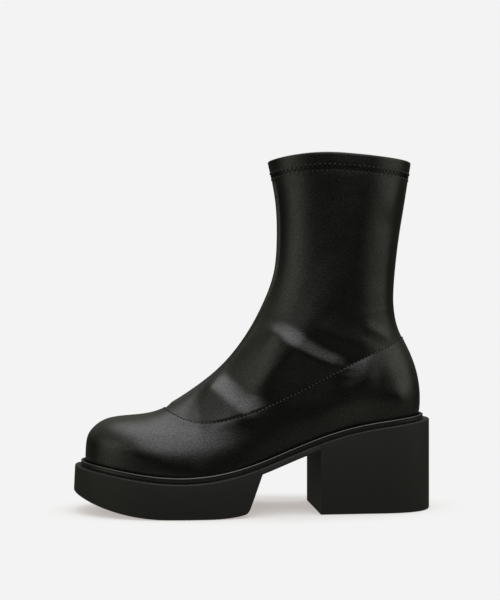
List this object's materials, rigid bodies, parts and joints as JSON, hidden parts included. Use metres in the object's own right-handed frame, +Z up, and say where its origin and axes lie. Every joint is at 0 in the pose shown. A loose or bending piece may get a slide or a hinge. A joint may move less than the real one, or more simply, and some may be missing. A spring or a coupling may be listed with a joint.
{
  "type": "stretch ankle boot",
  "caption": "Black pull-on ankle boot: a close-fitting stretch upper with a lapped vamp seam on a welted platform sole with a high block heel, for the left foot.",
  "frame": {"origin": "on the floor under the middle of the boot's bounding box", "axes": "+Z up, toe towards -X and heel towards +X, outer side of the foot towards -Y"},
  "size_m": [0.26, 0.0968, 0.2573],
  "materials": {
    "upper_leather": "satin",
    "sock_lining": "matte",
    "welt_rubber": "satin",
    "sole_rubber": "matte"
  },
  "bodies": {
    "root": {"upper": "upper_leather", "insole": "sock_lining", "welt": "welt_rubber", "outsole": "sole_rubber", "heel": "sole_rubber"}
  },
  "joints": []
}
